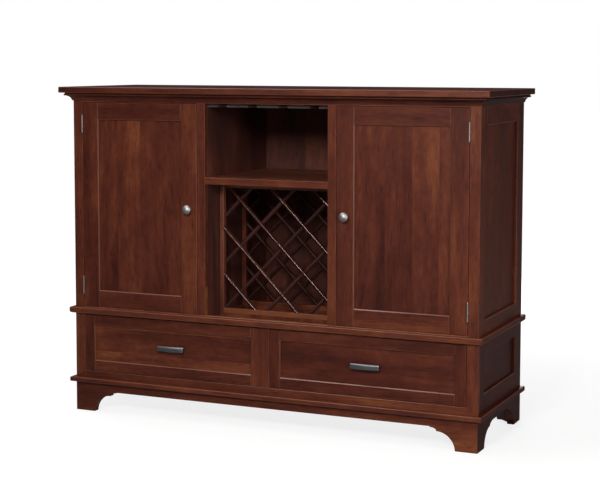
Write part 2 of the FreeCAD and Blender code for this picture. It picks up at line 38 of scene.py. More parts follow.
class Wire:
    # a node's output that takes part in sums, so that 1 - mask adds its own Math node
    def __init__(self, finish, socket):
        self.finish = finish
        self.socket = socket

    def __add__(self, other):
        return self.finish.math("ADD", self, other)

    def __radd__(self, other):
        return self.finish.math("ADD", other, self)

    def __sub__(self, other):
        return self.finish.math("SUBTRACT", self, other)

    def __rsub__(self, other):
        return self.finish.math("SUBTRACT", other, self)

    def __mul__(self, other):
        return self.finish.math("MULTIPLY", self, other)

    def __floordiv__(self, other):
        return self.finish.math("FLOOR", self.finish.math("DIVIDE", self, other))

    def __gt__(self, other):
        return self.finish.math("GREATER_THAN", self, other)

    def __lt__(self, other):
        return self.finish.math("LESS_THAN", self, other)

    def __abs__(self):
        return self.finish.math("ABSOLUTE", self)


# how corners are found, and how near to square a face is before it counts as a chamfer
cornerSet = {"samples": 6, "gain": 9, "square": 0.95}


class Finish:
    # one material or world, built node by node
    def __init__(self, owner):
        self.owner = owner
        owner.use_nodes = True
        self.tree = owner.node_tree
        self.tree.nodes.clear()

    def add(self, kind, settings, sockets, out=0):
        node = self.tree.nodes.new(kind)
        for name, value in settings.items():
            if name == "stops":
                ramp = node.color_ramp.elements
                while len(ramp) < len(value):
                    ramp.new(1.0)
                for element, (place, colour) in zip(ramp, value):
                    element.position = place
                    element.color = (*colour, 1.0)
            else:
                setattr(node, name, value)
        for name, value in sockets.items():
            if isinstance(value, Wire):
                self.tree.links.new(value.socket, node.inputs[name])
            else:
                node.inputs[name].default_value = value
        return Wire(self, node.outputs[out]) if len(node.outputs) else node

    def math(self, operation, first, second=0.0):
        return self.add("ShaderNodeMath", {"operation": operation}, {0: first, 1: second})

    def parts(self, vector):
        split = self.add("ShaderNodeSeparateXYZ", {}, {"Vector": vector}).socket.node
        return [Wire(self, split.outputs[axis]) for axis in "XYZ"]

    def spot(self):
        return self.parts(self.add("ShaderNodeTexCoord", {}, {}, "Object"))

    def noise(self, x, y, z, detail=2.0, rough=0.5):
        vector = self.add("ShaderNodeCombineXYZ", {}, {"X": x, "Y": y, "Z": z})
        sockets = {"Vector": vector, "Scale": 1.0, "Detail": detail, "Roughness": rough}
        return self.add("ShaderNodeTexNoise", {"noise_dimensions": "3D"}, sockets, "Fac")

    def blend(self, amount, first, second):
        sockets = {0: amount, 6: first, 7: second}
        return self.add("ShaderNodeMix", {"data_type": "RGBA"}, sockets, 2)

    def fade(self, value, span):
        # from 0 to 1 over the span, eased at both ends
        sockets = {"Value": value, "From Min": span[0], "From Max": span[1]}
        return self.add("ShaderNodeMapRange", {"interpolation_type": "SMOOTHSTEP"}, sockets)

    def rays(self):
        # which rays come from the camera, and which from a mirroring surface
        seen = self.add("ShaderNodeLightPath", {}, {}, "Is Camera Ray")
        kinds = seen.socket.node.outputs
        return seen, Wire(self, kinds["Is Glossy Ray"]) + Wire(self, kinds["Is Transmission Ray"])

    def soft(self, radius):
        # rounded corners in the shading, and where they are
        settings = {"samples": cornerSet["samples"]}
        normal = self.add("ShaderNodeBevel", settings, {"Radius": radius}, "Normal")
        flat = self.add("ShaderNodeNewGeometry", {}, {}, "Normal")
        along = self.add("ShaderNodeVectorMath", {"operation": "DOT_PRODUCT"}, {0: normal, 1: flat}, "Value")
        return normal, self.math("MINIMUM", (1 - along) * cornerSet["gain"], 1.0)

    def chamfer(self):
        # faces that lean between the square ones, and how far they look up or down
        facing = self.add("ShaderNodeTexCoord", {}, {}, "Normal")
        x, y, z = self.parts(self.add("ShaderNodeVectorMath", {"operation": "ABSOLUTE"}, {0: facing}))
        return self.math("MAXIMUM", self.math("MAXIMUM", x, y), z) < cornerSet["square"], z

    def close(self, sockets, bumpHeight=None, bump=None, normal=None):
        if bumpHeight is not None:
            inputs = {"Height": bumpHeight, "Strength": bump[0], "Distance": bump[1]}
            if normal is not None:
                inputs["Normal"] = normal
            normal = self.add("ShaderNodeBump", {}, inputs, "Normal")
        if normal is not None:
            sockets["Normal"] = normal
        shader = self.add("ShaderNodeBsdfPrincipled", {}, sockets, "BSDF")
        self.add("ShaderNodeOutputMaterial", {}, {"Surface": shader})
        return self.owner


def newFinish(name):
    return Finish(bpy.data.materials.new(name))


def swing(wave, amount):
    # noise runs from 0 to 1, so it swings about a half
    return (wave - 0.5) * amount


def swap(mask, first, second):
    # first where the mask is 0, second where it is 1
    return first + (second - first) * mask


def between(value, low, high):
    return (value > low) * (value < high)


# stained cherry: broad flames, streaks along the grain, curly mottle, faint rings, flecks and pores
cherryLook = {
    "stops": [
        (0.12, (0.026, 0.0049, 0.0031)),
        (0.36, (0.063, 0.0128, 0.0068)),
        (0.52, (0.097, 0.0214, 0.0103)),
        (0.68, (0.147, 0.0390, 0.0152)),
        (0.90, (0.228, 0.0740, 0.0250)),
    ],
    "edge": (0.250, 0.0880, 0.0480),  # stain rubbed thin along the corners, and a painted highlight on them
    "edgeShare": 0.30,
    "seamHighlight": 0.45,  # a painted highlight line where stiles meet rails
    "edgeGloss": 0.20,  # lacquer gathers and shines there
    "roughness": 0.40,
    "specular": 0.20,
    "specularTint": (1.0, 1.0, 1.0, 1.0),
    "coat": 0.0,
    "coatRoughness": 0.15,
    "chamferCoat": (0.13, 0.56),  # on any chamfer, and more as it looks up or down
    "chamferHighlight": (0.14, 0.50),  # a painted highlight there, in lighter colour, in the same way
    "corner": 0.0017,
    "flame": 0.60,
    "streak": 0.46,
    "blotch": 0.26,
    "mottle": 0.22,
    "ring": 0.020,
    "fleck": 0.16,
    "fibre": 0.15,
    "board": 0.17,  # how far one board's tone departs from the next
    "bump": (0.10, 0.0004),
}

# the same cherry on the case, the doors, the mouldings, the sides and the insides
caseLook = dict(cherryLook, board=0.06, chamferCoat=(0.03, 0.62), chamferHighlight=(0.05, 0.75))
rackLook = dict(caseLook, specular=0.50)
panelLook = dict(cherryLook, board=0.12)
mouldingLook = dict(cherryLook, board=0.0, chamferCoat=(0.0, 0.60))
coveLook = dict(mouldingLook, chamferCoat=(0.05, 0.0), chamferHighlight=(0.0, 0.0))
sideLook = dict(cherryLook, board=0.06, streak=0.24, flame=0.40)
topLook = dict(cherryLook, roughness=0.42, coat=0.08, coatRoughness=0.30)
shelfLook = dict(cherryLook, specular=0.50)
insideLook = dict(cherryLook, roughness=0.52, specular=0.65, edgeGloss=0.05)
backLook = dict(insideLook, roughness=0.60, specular=0.32, edgeShare=0.1)

# darker slats, greyed stemware rails and pale drawer boxes
slatLook = dict(
    cherryLook,
    stops=[
        (0.12, (0.012, 0.0034, 0.0026)),
        (0.52, (0.044, 0.0118, 0.0082)),
        (0.88, (0.100, 0.0310, 0.0190)),
    ],
    roughness=0.74,
    specular=0.44,
    corner=0.0008,
    edgeShare=0.05,
    edgeGloss=0.0,
    slatGloss=0.59,
    specularTint=(1.0, 0.72, 0.70, 1.0),
    chamferCoat=None,
)
rearLook = dict(slatLook, specular=0.25, slatGloss=0.30)
railLook = dict(
    cherryLook,
    stops=[
        (0.12, (0.022, 0.0145, 0.0140)),
        (0.52, (0.048, 0.0350, 0.0340)),
        (0.88, (0.100, 0.0760, 0.0740)),
    ],
    edge=(0.14, 0.110, 0.105),
)
mapleLook = dict(
    cherryLook,
    stops=[
        (0.12, (0.30, 0.17, 0.085)),
        (0.38, (0.44, 0.28, 0.150)),
        (0.55, (0.53, 0.36, 0.200)),
        (0.88, (0.66, 0.49, 0.300)),
    ],
    edge=(0.66, 0.50, 0.33),
    roughness=0.46,
    edgeGloss=0.06,
)

# how fine each figure is across the board and along it, with the noise's detail and roughness,
# and how strongly the finest ones show
grainSet = {
    "sway": (5, 1.2, 2.0, 0.5),
    "flame": (8, 1.6, 2.0, 0.5),
    "streak": (30, 2.4, 3.0, 0.6),
    "blotch": (17, 7, 2.0, 0.5),
    "mottle": (62, 36, 2.0, 0.5),
    "fibre": (520, 11, 2.0, 0.5),
    "fleck": (240, 20, 1.0, 0.5),
    "pore": (1100, 34, 0.0, 0.5),
    "bend": 0.08,
    "tone": 0.5,
    "ringTaper": 0.05,
    "ringStart": 0.03,
    "ringPitch": 900.0,
    "fleckFloor": 0.58,
    "fleckGain": 6,
    "poreFloor": 0.70,
    "poreTone": 0.06,
    "fibreRough": 0.12,
    "poreRough": 0.12,
    "flameRough": 0.10,
    "fibreRise": 0.5,
}

# how far a node's seed, and then each board's own number, shift the grain
shiftSet = {
    "seedStep": 0.37,
    "seedAlong": 1.73,
    "seedDepth": 0.61,
    "seedBoard": 3.1,
    "boardAlong": 4.0,
    "boardDepth": 1.5,
}


def sawnWood(name, look, lay, heart, seed, tint, rounding=None):
    kit = newFinish(name)
    place = kit.spot()
    across, along, depth, *extra = lay(*place)
    along = along + seed * shiftSet["seedAlong"]
    depth = depth + seed * shiftSet["seedDepth"]
    tone = grainSet["tone"] + tint
    if extra and extra[0] is not None:
        # every board of the piece has its own grain and tone
        number = {"W": extra[0] + seed * shiftSet["seedBoard"]}
        board = kit.add("ShaderNodeTexWhiteNoise", {"noise_dimensions": "1D"}, number, "Value")
        along = along + board * shiftSet["boardAlong"]
        depth = depth + board * shiftSet["boardDepth"]
        tone = tone + swing(board, look["board"])
    for paintedLightAndTone in extra[1:2]:
        tone = tone + paintedLightAndTone

    def figure(kind, over):
        wide, long, detail, rough = grainSet[kind]
        return kit.noise(over * wide, along * long, depth * wide, detail, rough)

    bend = across + swing(figure("sway", across), grainSet["bend"])
    flame = figure("flame", bend)
    streak = figure("streak", bend)
    blotch = figure("blotch", across)
    mottle = figure("mottle", across)
    fibre = figure("fibre", across)
    fleck = kit.math("MAXIMUM", figure("fleck", across) - grainSet["fleckFloor"], 0.0)
    pore = figure("pore", across) > grainSet["poreFloor"]
    rise = along * grainSet["ringTaper"] + grainSet["ringStart"]
    offHeart = bend - heart
    ring = kit.math("SQRT", offHeart * offHeart + rise * rise)
    ring = kit.math("SINE", ring * grainSet["ringPitch"])
    tone = tone + swing(flame, look["flame"]) + swing(streak, look["streak"])
    tone = tone + swing(blotch, look["blotch"]) + swing(mottle, look["mottle"])
    tone = tone + ring * look["ring"] + swing(fibre, look["fibre"])
    tone = tone - fleck * grainSet["fleckGain"] * look["fleck"] - pore * grainSet["poreTone"]
    stain = kit.add("ShaderNodeValToRGB", {"stops": look["stops"]}, {"Fac": tone}, "Color")
    normal, corner = kit.soft(look["corner"])
    rough = look["roughness"] + swing(fibre, grainSet["fibreRough"]) + pore * grainSet["poreRough"]
    rough = rough + swing(flame, grainSet["flameRough"]) - corner * look["edgeGloss"]
    if rounding:
        height, glossy = rounding(*place)
        rough = rough - glossy * look["slatGloss"]
        sockets = {"Height": height, "Normal": normal, "Strength": 1.0, "Distance": 1.0}
        normal = kit.add("ShaderNodeBump", {}, sockets, "Normal")
    # corners get a lighter colour: rubbed stain and a painted highlight
    wearAndHighlight = corner * look["edgeShare"]
    coat = look["coat"]
    if look["chamferCoat"]:
        # lacquer gathers on chamfers, most on those that look up or down, and they get a painted highlight in the
        # same way
        chamfer, lean = kit.chamfer()
        uprightCoat, leaningCoat = look["chamferCoat"]
        uprightHighlight, leaningHighlight = look["chamferHighlight"]
        wearAndHighlight = wearAndHighlight + chamfer * (lean * leaningHighlight + uprightHighlight)
        coat = chamfer * (lean * leaningCoat + uprightCoat) + coat
    # painted highlight lines where stiles meet rails
    for seam in extra[2:]:
        wearAndHighlight = wearAndHighlight + seam * look["seamHighlight"]
    sockets = {
        "Base Color": kit.blend(kit.math("MINIMUM", wearAndHighlight, 1.0), stain, (*look["edge"], 1.0)),
        "Roughness": rough,
        "Specular IOR Level": look["specular"],
        "Specular Tint": look["specularTint"],
        "Coat Weight": coat,
        "Coat Roughness": look["coatRoughness"],
    }
    return kit.close(sockets, fibre * grainSet["fibreRise"] - pore, look["bump"], normal)


# how the grain runs: each returns across the board, along it and through it
def uprightFromFront(x, y, z):
    return x, z, y


def levelFromFront(x, y, z):
    return z, x, y


def uprightFromSide(x, y, z):
    return y, z, x


def levelFromSide(x, y, z):
    return z, y, x


def flatAcross(x, y, z):
    return y, x, z


def flatDeep(x, y, z):
    return x, y, z


# some also return a number for each board, how its tone lifts from place to place, mostly painted light and shade,
# and painted highlight lines at the seams between boards
boardSet = {"width": 0.25, "firstRail": 20, "firstRight": 50, "lowRails": 0.5}


def numbered(rail, across, z):
    # stiles are numbered across the frame, rails upward from a number of their own
    width = boardSet["width"]
    return swap(rail, (across + width / 2) // width, z // width + boardSet["firstRail"])


# low rails are painted lighter, and the frame gets a painted light slope across its width
def frontFrame(isRail, lowRailLight=0.0, paintedLightSlope=0.0, seams=()):
    def lay(x, y, z):
        rail = isRail(abs(x), y, z)
        paintedLightAndTone = rail * (z < boardSet["lowRails"]) * lowRailLight + x * paintedLightSlope
        highlightLines = [abs(abs(x) - seam) < sticks["seam"] for seam in seams]
        return swap(rail, x, z), swap(rail, z, x), y, numbered(rail, x, z), paintedLightAndTone, *highlightLines
    return lay


def sideFrame(isRail):
    def lay(x, y, z):
        rail = isRail(x, y, z)
        board = numbered(rail, y, z) + (x > 0) * boardSet["firstRight"]
        return swap(rail, y, z), swap(rail, z, y), x, board
    return lay


# panels: how far the glued joints are off, as a share of a board, and the height where the painted light, lighter
# upward and darker downward, is even
glueSet = {"offset": 0.37, "middle": 0.78}


def gluedUp(run, width, paintedLightUpward=0.0):
    def lay(x, y, z):
        across, along, depth = run(x, y, z)
        board = (across + width * glueSet["offset"]) // width
        return across, along, depth, board, (z - glueSet["middle"]) * paintedLightUpward
    return lay


# the walls of the bays are painted darker towards the top of each bay: painted shade under the top and under the
# shelf
wallSet = {
    "board": 0.13,
    "offset": 0.048,
    "face": 0.2395,
    "shelf": 0.89,
    "lowLevel": 0.40,
    "lowShade": -0.42,
    "highLevel": 0.96,
    "highShade": -1.6,
}


def wallRun(x, y, z):
    upper = z > wallSet["shelf"]
    lower = (z - wallSet["lowLevel"]) * wallSet["lowShade"]
    paintedLightAndTone = swap(upper, lower, (z - wallSet["highLevel"]) * wallSet["highShade"])
    return y, z, x, (y + wallSet["offset"]) // wallSet["board"], paintedLightAndTone * (abs(x) < wallSet["face"])


# the slab's ends show dark end grain; its top is painted darker, a painted dark reflection; its boards are darker
# at mid-length and get a painted light slope across the width
slabSet = {
    "board": 0.19,
    "offset": 0.3,
    "end": 0.8275,
    "endLift": -0.46,
    "top": 1.2187,
    "topPaintedReflection": -0.18,
    "paintedLightSlope": 0.13,
    "darkAt": 0.05,
    "darkReach": 0.5,
    "darkFade": 0.32,
    "darkLift": -0.16,
}


def slabRun(x, y, z):
    paintedLightAndTone = (abs(x) > slabSet["end"]) * slabSet["endLift"] + (z > slabSet["top"]) * slabSet["topPaintedReflection"]
    fromDark = x.finish.math("MINIMUM", abs(x - slabSet["darkAt"]), slabSet["darkReach"])
    paintedLightAndTone = paintedLightAndTone + x * slabSet["paintedLightSlope"] + fromDark * slabSet["darkFade"] + slabSet["darkLift"]
    return y, x, z, (y + slabSet["offset"]) // slabSet["board"], paintedLightAndTone


# where stiles end and rails begin, in metres
sticks = {
    "doorIn": 0.3378,
    "doorOut": 0.6837,
    "drawerIn": 0.0575,
    "drawerOut": 0.706,
    "sideFront": -0.172,
    "sideBack": 0.209,
    "caseOut": 0.7505,
    "centreIn": 0.239,
    "centreOut": 0.271,
    "openLow": 0.397,
    "openHigh": 1.163,
    "baseOut": 0.7475,
    "baseMid": 0.016,
    "baseLow": 0.154,
    "baseSlope": 1.547,  # its lower outer corners are mitred
    "rackPost": 0.222,
    "seam": 0.0011,  # half the width of the painted highlight line where they meet
}
doorSeams = (sticks["doorIn"], sticks["doorOut"])
drawerSeams = (sticks["drawerIn"], sticks["drawerOut"])


def doorRails(x, y, z):
    return between(x, *doorSeams)


def drawerRails(x, y, z):
    return between(x, *drawerSeams)


def caseRails(x, y, z):
    centre = between(x, sticks["centreIn"], sticks["centreOut"]) * between(z, sticks["openLow"], sticks["openHigh"])
    return (x < sticks["caseOut"]) * (1 - centre)


def baseRails(x, y, z):
    below = z.finish.math("MAXIMUM", sticks["baseLow"] - z, 0.0)
    mitre = sticks["baseOut"] + below * sticks["baseSlope"]
    return (x < mitre) * (1 - (x < sticks["baseMid"]) * (z > sticks["baseLow"]))


def sideRails(x, y, z):
    return between(y, sticks["sideFront"], sticks["sideBack"])


def rackRails(x, y, z):
    return x < sticks["rackPost"]


# mouldings: the front length runs across, the side lengths run back from the mitres and are painted darker, painted
# shade; the front can take a painted light slope
mitreSet = {"x": 0.7885, "y": -0.242, "sideBoard": 5, "sideShade": -0.16, "driftReach": 0.4}


def mitredRun(paintedLightSlope=0.0):
    def lay(x, y, z):
        past = abs(x) - mitreSet["x"]
        side = (past + (y - mitreSet["y"]) > 0) * (past > 0)
        rightward = x.finish.math("MINIMUM", x.finish.math("MAXIMUM", x, 0.0), mitreSet["driftReach"])
        paintedLightAndTone = swap(side, rightward * paintedLightSlope, mitreSet["sideShade"])
        return z, swap(side, x, y), swap(side, y, x), side * mitreSet["sideBoard"], paintedLightAndTone
    return lay


# the front of the plinth is painted lighter to the right, painted light
plinthSet = {"paintedLightSlope": 0.13}


def plinthRun(x, y, z):
    return z, x, y, None, x * plinthSet["paintedLightSlope"]


# slats: falling ones lie in front of rising ones
slatSet = {
    "frontLayer": -0.1173,  # where the two layers of the front and of the rear lattice part
    "rearLayer": 0.0677,
    "falling": 0.143,
    "rising": 0.121,
    "apart": 0.12021,
    "radius": 0.0046,
    "least": 1e-9,
}
diagonal = math.sqrt(0.5)


def slatRun(layer):
    def lay(x, y, z):
        rising = y > layer
        falls = (x - z) * diagonal
        rises = (x + z) * diagonal
        return swap(rising, rises, falls), swap(rising, falls, rises), y
    return lay


def slatRound(layer):
    # slats are rounded across their faces: the rise of the surface, and which slats have the fresh lacquer
    def height(x, y, z):
        falls = (x + z - slatSet["falling"]) * diagonal
        rises = (z - x - slatSet["rising"]) * diagonal
        rising = y > layer
        off = swap(rising, falls, rises)
        off = off - ((off + slatSet["apart"] / 2) // slatSet["apart"]) * slatSet["apart"]
        inside = slatSet["radius"] * slatSet["radius"] - off * off
        return off.finish.math("SQRT", off.finish.math("MAXIMUM", inside, slatSet["least"])), 1 - rising
    return height


# drawer boxes: the grain runs from front to back in the sides, and across in the other two boards
boxSet = {"inner": 0.042, "outer": 0.7215}


def boxRun(x, y, z):
    sides = (abs(x) < boxSet["inner"]) + (abs(x) > boxSet["outer"])
    return z, swap(sides, x, y), swap(sides, y, x)


# each wooden node's look, the lay of its grain, the heart of its rings and how light its stain took; on the nodes
# marked below that lightness is also painted shade
woods = {
    "top_slab": (topLook, slabRun, 0.0, 0.05),
    # the crown is painted darker: painted shade under the slab
    "crown_moulding": (coveLook, mitredRun(paintedLightSlope=-0.45), 1.0, -0.11),
    "waist_moulding": (mouldingLook, mitredRun(), 1.08, 0.08),
    "base_moulding": (mouldingLook, mitredRun(), 0.05, 0.02),
    "upper_face_frame": (caseLook, frontFrame(caseRails, lowRailLight=0.24, paintedLightSlope=0.06), 0.5, 0.02),
    "base_face_frame": (cherryLook, frontFrame(baseRails, paintedLightSlope=0.05), 0.4, 0.05),
    "side_frames": (cherryLook, sideFrame(sideRails), 0.6, -0.03),
    # the base side frames and base side panels are painted darker: painted shade low on the side
    "base_side_frames": (sideLook, sideFrame(sideRails), 0.4, -0.25),
    "side_panels": (sideLook, gluedUp(uprightFromSide, 0.11), 0.03, -0.02),
    "base_side_panels": (sideLook, levelFromSide, 0.25, -0.26),
    "left_door_frame": (panelLook, frontFrame(doorRails, paintedLightSlope=-0.08, seams=doorSeams), -0.9, -0.04),
    "right_door_frame": (cherryLook, frontFrame(doorRails, lowRailLight=0.06, seams=doorSeams), 0.9, -0.08),
    "left_door_panel": (cherryLook, gluedUp(uprightFromFront, 0.095, paintedLightUpward=0.22), -0.52, -0.015),
    "right_door_panel": (panelLook, gluedUp(uprightFromFront, 0.097, paintedLightUpward=0.16), 0.49, -0.025),
    "left_drawer_front_frame": (caseLook, frontFrame(drawerRails, seams=drawerSeams), 0.5, -0.05),
    "right_drawer_front_frame": (caseLook, frontFrame(drawerRails, seams=drawerSeams), 0.45, -0.04),
    "left_drawer_front_panel": (cherryLook, gluedUp(levelFromFront, 0.088), 0.25, 0.07),
    "right_drawer_front_panel": (cherryLook, gluedUp(levelFromFront, 0.091), 0.27, -0.03),
    "plinth_front": (cherryLook, plinthRun, 0.2, 0.02),
    "plinth_back": (cherryLook, levelFromFront, 0.2, 0.0),
    # the plinth sides are painted darker: painted shade towards the floor
    "plinth_sides": (cherryLook, levelFromSide, 0.2, -0.30),
    "plinth_corner_blocks": (insideLook, uprightFromFront, 0.2, 0.0),
    "dividers": (insideLook, wallRun, 0.1, -0.06),
    "middle_shelf": (shelfLook, flatAcross, 0.1, 0.15),
    "sub_top": (insideLook, flatAcross, 0.2, 0.0),
    "base_deck": (shelfLook, flatAcross, 0.3, 0.03),
    "base_floor": (insideLook, flatAcross, 0.1, 0.0),
    "base_partition": (insideLook, levelFromSide, 0.1, 0.0),
    "left_cupboard_shelf": (cherryLook, flatAcross, 0.1, 0.0),
    "right_cupboard_shelf": (cherryLook, flatAcross, 0.0, 0.0),
    "shelf_cleats": (cherryLook, levelFromSide, 0.5, 0.0),
    "slide_cleats": (insideLook, levelFromSide, 0.2, 0.0),
    "upper_back": (backLook, gluedUp(uprightFromFront, 0.19), 0.1, -0.10),
    "base_back": (backLook, levelFromFront, 0.1, 0.0),
    "stemware_rails": (railLook, flatDeep, 0.4, 0.0),
    "rack_front_frame": (rackLook, frontFrame(rackRails, lowRailLight=0.24), 0.5, 0.11),
    "rack_rear_frame": (caseLook, frontFrame(rackRails, lowRailLight=0.12), 0.5, 0.06),
    "rack_front_slats": (slatLook, slatRun(slatSet["frontLayer"]), 0.9, 0.0),
    # the rear slats are painted darker: painted shade deep in the bay
    "rack_rear_slats": (rearLook, slatRun(slatSet["rearLayer"]), 0.9, -0.10),
    "rack_ties": (cherryLook, flatDeep, 0.5, 0.08),
    "left_drawer_box": (mapleLook, boxRun, 0.5, 0.0),
    "right_drawer_box": (mapleLook, boxRun, 0.5, 0.0),
    "left_drawer_bottom": (mapleLook, flatAcross, 0.1, 0.0),
    "right_drawer_bottom": (mapleLook, flatAcross, 0.1, 0.0),
}
rounded = {
    "rack_front_slats": slatRound(slatSet["frontLayer"]),
    "rack_rear_slats": slatRound(slatSet["rearLayer"]),
}


def dress(name, material):
    mesh = nodes[name].data
    mesh.materials.clear()
    mesh.materials.append(material)


for count, (name, (look, lay, heart, tint)) in enumerate(woods.items()):
    seed = shiftSet["seedStep"] * count
    dress(name, sawnWood("wood_" + name, look, lay, heart, seed, tint, rounded.get(name)))
print("woods laid on", len(woods), "nodes")

# metals: tarnished in patches, rubbed bright at the corners
knobLook = {
    "dark": (0.20, 0.190, 0.182),
    "light": (0.57, 0.545, 0.525),
    "roughness": 0.46,
    "grain": 160.0,
    "corner": 0.0015,
}
pullLook = {
    "dark": (0.085, 0.083, 0.085),
    "light": (0.28, 0.275, 0.280),
    "roughness": 0.40,
    "grain": 140.0,
    "corner": 0.0034,
}
nickelLook = {
    "dark": (0.15, 0.120, 0.110),
    "light": (0.40, 0.340, 0.320),
    "roughness": 0.40,
    "grain": 220.0,
    "corner": 0.0008,
}
zincLook = {
    "dark": (0.40, 0.405, 0.41),
    "light": (0.64, 0.645, 0.65),
    "roughness": 0.34,
    "grain": 90.0,
    "corner": 0.0004,
}
tarnishSet = {
    "speckScale": 9,  # specks to a patch
    "patchDetail": (3.0, 0.6),
    "speckDetail": (1.0, 0.5),
    "patchShare": 0.9,
    "cornerShare": 0.6,
    "patchRough": 0.25,
    "speckRough": 0.15,
    "patchRise": 0.5,
    "speckRise": 0.2,
    "bump": (0.12, 0.0003),
}


def metal(name, look):
    kit = newFinish(name)
    x, y, z = kit.spot()
    grain = look["grain"]
    fine = grain * tarnishSet["speckScale"]
    patch = kit.noise(x * grain, y * grain, z * grain, *tarnishSet["patchDetail"])
    speck = kit.noise(x * fine, y * fine, z * fine, *tarnishSet["speckDetail"])
    normal, corner = kit.soft(look["corner"])
    bright = patch * tarnishSet["patchShare"] + corner * tarnishSet["cornerShare"]
    bright = kit.math("MINIMUM", bright, 1.0)
    rough = look["roughness"] + swing(patch, tarnishSet["patchRough"]) + swing(speck, tarnishSet["speckRough"])
    sockets = {
        "Base Color": kit.blend(bright, (*look["dark"], 1.0), (*look["light"], 1.0)),
        "Roughness": rough,
        "Metallic": 1.0,
    }
    rise = patch * tarnishSet["patchRise"] + speck * tarnishSet["speckRise"]
    return kit.close(sockets, rise, tarnishSet["bump"], normal)


knobPewter = metal("burnished_pewter", knobLook)
pullPewter = metal("antiqued_pewter", pullLook)
nickel = metal("satin_nickel", nickelLook)
zinc = metal("zinc_plate", zincLook)
metals = {
    knobPewter: ["left_door_knob_and_strike", "right_door_knob_and_strike"],
    pullPewter: ["left_drawer_pull", "right_drawer_pull"],
    nickel: ["case_hinge_leaves", "left_door_hinge_leaves", "right_door_hinge_leaves"],
    zinc: [
        "slide_case_members",
        "left_slide_middles",
        "right_slide_middles",
        "left_slide_drawer_members",
        "right_slide_drawer_members",
    ],
}
for material, names in metals.items():
    for name in names:
        dress(name, material)

# moulded catch bodies
catchLook = {
    "dark": (0.020, 0.012, 0.008),
    "light": (0.045, 0.028, 0.018),
    "roughness": 0.55,
    "skin": 900,
    "skinRough": 0.2,
    "flow": 40,
    "corner": 0.0008,
    "bump": (0.15, 0.0003),
}


def mouldedPlastic(name, look):
    kit = newFinish(name)
    place = kit.spot()
    skin = kit.noise(*[part * look["skin"] for part in place])
    flow = kit.noise(*[part * look["flow"] for part in place])
    normal = kit.soft(look["corner"])[0]
    sockets = {
        "Base Color": kit.blend(flow, (*look["dark"], 1.0), (*look["light"], 1.0)),
        "Roughness": look["roughness"] + swing(skin, look["skinRough"]),
    }
    return kit.close(sockets, skin, look["bump"], normal)


dress("door_catches", mouldedPlastic("brown_plastic", catchLook))
print("metals and catches dressed")

# small fittings: each is modelled once, upright at the origin, and copied to its places
levelFace = 0.9  # a face looks up when its normal rises more than this


def pickFaces(piece, wanted):
    shell = bmesh.from_edit_mesh(piece.data)
    for face in shell.faces:
        face.select_set(wanted(face))
    bmesh.update_edit_mesh(piece.data)


def facesUp(face):
    return face.normal.z > levelFace


def pickOnly(piece):
    bpy.ops.object.select_all(action="DESELECT")
    piece.select_set(True)
    bpy.context.view_layer.objects.active = piece


def turnedFitting(name, sides, start, rings):
    # a turned shape: a short stub, drawn up ring by ring (radius, rise)
    radius, rise = start
    bpy.ops.object.select_all(action="DESELECT")
    bpy.ops.mesh.primitive_cylinder_add(vertices=sides, radius=radius, depth=rise, location=(0, 0, rise / 2))
    piece = bpy.context.object
    piece.name = name
    bpy.ops.object.transform_apply(location=True, rotation=False, scale=False)
    bpy.ops.object.mode_set(mode="EDIT")
    bpy.ops.mesh.select_mode(type="FACE")
    height = rise
    for wider, rise in rings:
        pickFaces(piece, facesUp)
        bpy.ops.mesh.extrude_region_move(TRANSFORM_OT_translate={"value": (0, 0, rise)})
        height += rise
        bpy.ops.transform.resize(value=(wider / radius, wider / radius, 1), center_override=(0, 0, height))
        radius = wider
    bpy.ops.object.mode_set(mode="OBJECT")
    return piece


def cutCross(piece, size, depth, top):
    # a cross recess, sunk into the crown
    bpy.ops.object.select_all(action="DESELECT")
    bpy.ops.mesh.primitive_cube_add(size=1, location=(0, 0, top))
    cutter = bpy.context.object
    bpy.ops.object.mode_set(mode="EDIT")
    bpy.ops.transform.resize(value=(size[0], size[1], depth * 2), center_override=(0, 0, top))
    bpy.ops.mesh.duplicate()
    bpy.ops.transform.rotate(value=math.pi / 2, orient_axis="Z", center_override=(0, 0, top))
    bpy.ops.object.mode_set(mode="OBJECT")
    pickOnly(piece)
    cut = piece.modifiers.new("recess", "BOOLEAN")
    cut.operation = "DIFFERENCE"
    cut.object = cutter
    cut.use_self = True
    bpy.ops.object.modifier_apply(modifier=cut.name)
    bpy.data.objects.remove(cutter)


def smoothOver(piece, degrees):
    pickOnly(piece)
    bpy.ops.object.shade_smooth_by_angle(angle=math.radians(degrees))


def setOut(model, name, body, material, spots):
    # copies of one model, each at its place, facing its way and at its size, joined into one piece
    copies = []
    for place, facing, wide, tall in spots:
        piece = model.copy()
        piece.data = model.data.copy()
        turn = Vector(facing).to_track_quat("Z", "Y").to_matrix().to_4x4()
        piece.data.transform(Matrix.Translation(place) @ turn @ Matrix.Diagonal((wide, wide, tall, 1)))
        bpy.context.scene.collection.objects.link(piece)
        copies.append(piece)
    bpy.ops.object.select_all(action="DESELECT")
    for piece in copies:
        piece.select_set(True)
    bpy.context.view_layer.objects.active = copies[0]
    bpy.ops.object.join()
    group = bpy.context.object
    group.name = name
    group.data.name = name
    group.data.materials.clear()
    group.data.materials.append(material)
    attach(group, body)


